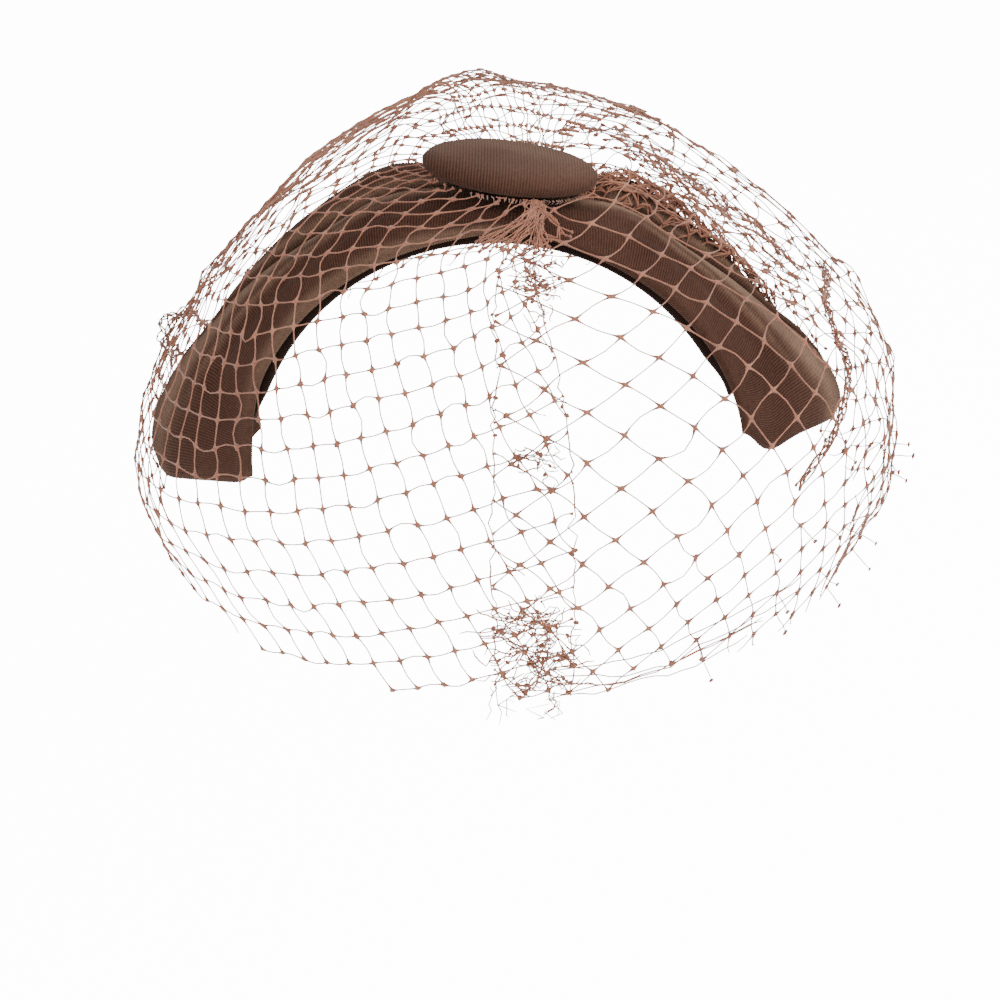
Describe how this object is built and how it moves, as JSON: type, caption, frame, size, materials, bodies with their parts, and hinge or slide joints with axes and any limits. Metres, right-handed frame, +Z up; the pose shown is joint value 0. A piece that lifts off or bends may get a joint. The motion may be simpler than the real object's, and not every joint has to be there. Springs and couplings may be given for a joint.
{
  "type": "half hat with veil",
  "caption": "Folded ribbed cloth half hat worn ear to ear over the crown, with flaring end panels, a padded oval button on top and a bubble veil of coarse diamond net.",
  "frame": {"origin": "the point of the crown that the middle of the base strip rests on", "axes": "+Z up out of the crown, -Y towards the face, +X towards the wearer's left"},
  "size_m": [0.2324, 0.2026, 0.1247],
  "materials": {
    "ribbed_cloth": "matte ribbed weave",
    "base_cloth": "matte",
    "veil_net": "matte coarse net"
  },
  "bodies": {
    "root": {"bandeau": "base_cloth", "front_fold_left": "ribbed_cloth", "front_fold_right": "ribbed_cloth", "back_fold_left": "ribbed_cloth", "back_fold_right": "ribbed_cloth", "button": "ribbed_cloth", "veil": "veil_net", "veil_gather": "veil_net"}
  },
  "joints": []
}
